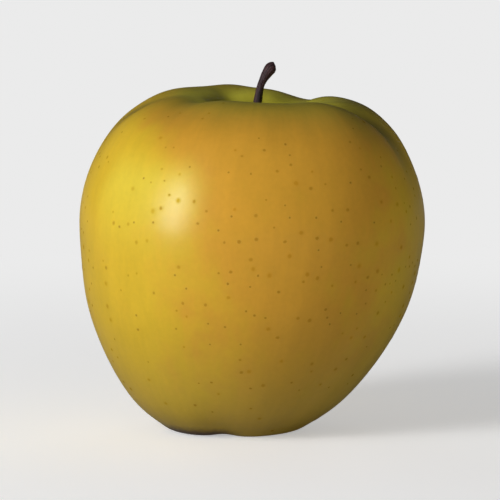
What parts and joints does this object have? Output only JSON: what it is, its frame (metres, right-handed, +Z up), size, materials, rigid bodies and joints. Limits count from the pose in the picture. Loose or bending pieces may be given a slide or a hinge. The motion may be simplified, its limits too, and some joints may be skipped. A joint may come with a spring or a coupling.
{
  "type": "apple",
  "caption": "Golden delicious apple: tall ribbed fruit tapering to a knobbed crown, with a leaning woody stalk in its hollow and a dried calyx in its basin.",
  "frame": {"origin": "on the table, under the middle of the fruit", "axes": "+Z up along the core towards the stalk; -Y towards the picture's camera; +X to the picture's right, the way the stalk leans"},
  "size_m": [0.0764, 0.0769, 0.0813],
  "materials": {
    "skin": "satin, waxy golden yellow skin with small brown lenticels",
    "wood": "dull, dark purple-brown bark",
    "dried_sepal": "dull, dry and papery"
  },
  "bodies": {
    "root": {"fruit": "skin", "stalk": "wood", "calyx": "dried_sepal"}
  },
  "joints": []
}
